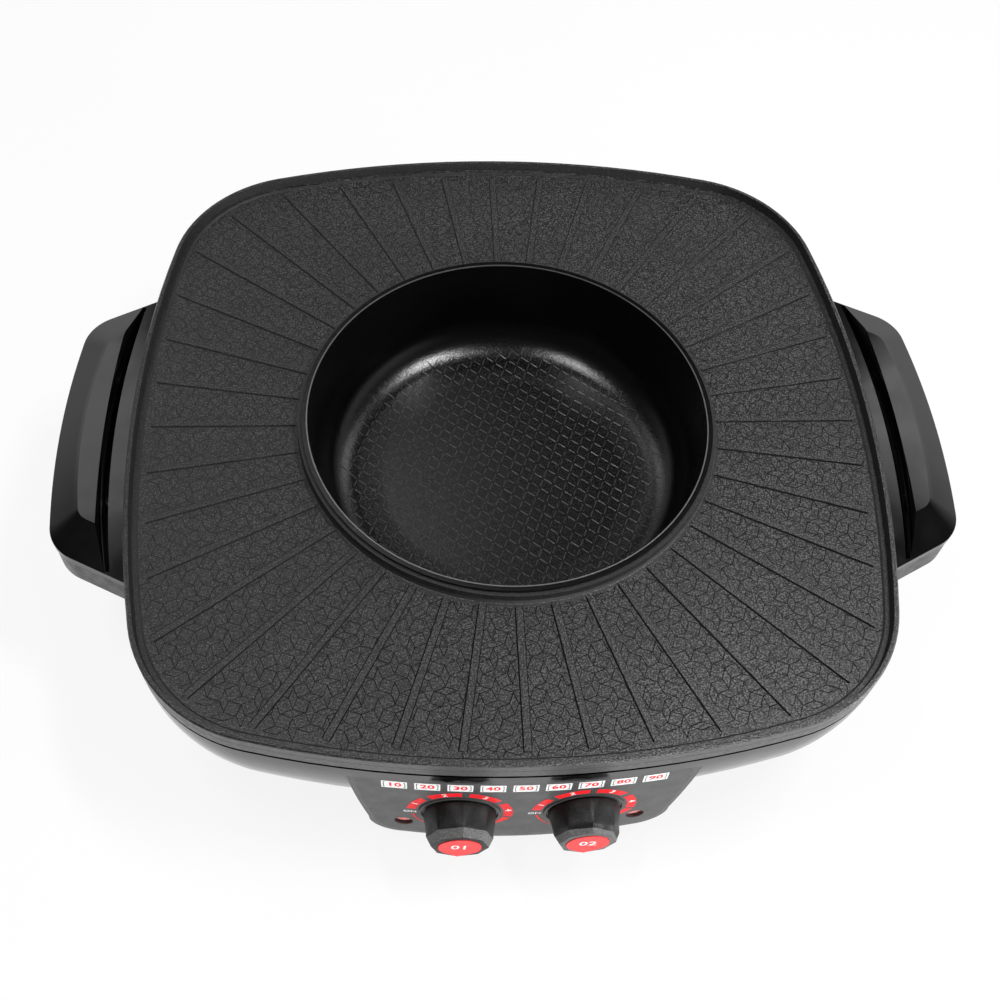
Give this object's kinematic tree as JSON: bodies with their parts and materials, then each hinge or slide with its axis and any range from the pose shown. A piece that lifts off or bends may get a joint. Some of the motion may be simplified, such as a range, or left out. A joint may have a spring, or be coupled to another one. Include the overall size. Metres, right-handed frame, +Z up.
{
  "type": "electric grill and hot pot",
  "caption": "Table-top electric grill: rounded-square plate with radial bars, lift-out round pot in the middle, bowl-shaped base, side handles and a front pod with two dials.",
  "frame": {"origin": "on the pot's axis, on the plane that the feet stand on", "axes": "+Z up, +X to the user's right, along the two handles, and the control pod faces -Y"},
  "size_m": [0.486, 0.4246, 0.1116],
  "materials": {
    "plate_coating": "speckled non-stick coating on cast aluminium",
    "pot_coating": "satin non-stick coating on pressed aluminium",
    "black_moulding": "glossy black",
    "cover_moulding": "satin black",
    "panel_film": "printed film",
    "dial_plastic": "satin dark grey",
    "cap_red": "red",
    "lens_red": "tinted lens",
    "lamp_glass": "small neon lamp",
    "rubber": "soft black",
    "screw_steel": "plated",
    "sheet_steel": "pressed sheet",
    "element_tube": "sheathed heating tube",
    "cast_aluminium": "as cast",
    "ceramic": "white ceramic",
    "pin_brass": "plated pins"
  },
  "bodies": {
    "base": {"grill_plate": "plate_coating", "base_housing": "black_moulding", "bottom_cover": "cover_moulding", "rubber_feet": "rubber", "cover_screws": "screw_steel", "plate_screws": "screw_steel", "control_pod": "black_moulding", "panel_overlay": "panel_film", "thermostat_left": "ceramic", "thermostat_right": "ceramic", "thermostat_screws": "screw_steel", "indicator_lenses": "lens_red", "indicator_lamps": "lamp_glass", "side_handle_left": "black_moulding", "side_handle_right": "black_moulding", "handle_cover_left": "cover_moulding", "handle_cover_right": "cover_moulding", "handle_screws": "screw_steel", "pot_heating_plate": "cast_aluminium", "pot_heating_element": "element_tube", "grill_heating_element": "element_tube", "heat_shield": "sheet_steel", "heater_spacers": "screw_steel", "shield_screws": "screw_steel", "element_brackets": "sheet_steel", "terminal_block": "ceramic", "power_inlet": "cover_moulding", "inlet_pins": "pin_brass"},
    "knob_left": {"knob_left": "dial_plastic", "knob_cap_left": "cap_red", "control_shaft_left": "screw_steel"},
    "knob_right": {"knob_right": "dial_plastic", "knob_cap_right": "cap_red", "control_shaft_right": "screw_steel"},
    "pot": {"inner_pot": "pot_coating"}
  },
  "joints": [
    {"name": "knob_left_turn", "type": "hinge", "parent": "base", "child": "knob_left", "pos_m": [-0.0312, -0.20238, 0.0472], "axis": [0.0297, 0.9996, 0], "range_deg": [0, 300]},
    {"name": "knob_right_turn", "type": "hinge", "parent": "base", "child": "knob_right", "pos_m": [0.0312, -0.20238, 0.0472], "axis": [-0.0297, 0.9996, 0], "range_deg": [0, 300]},
    {"name": "pot_lift", "type": "slide", "parent": "base", "child": "pot", "axis": [0, 0, 1], "range_m": [0, 0.1]}
  ]
}
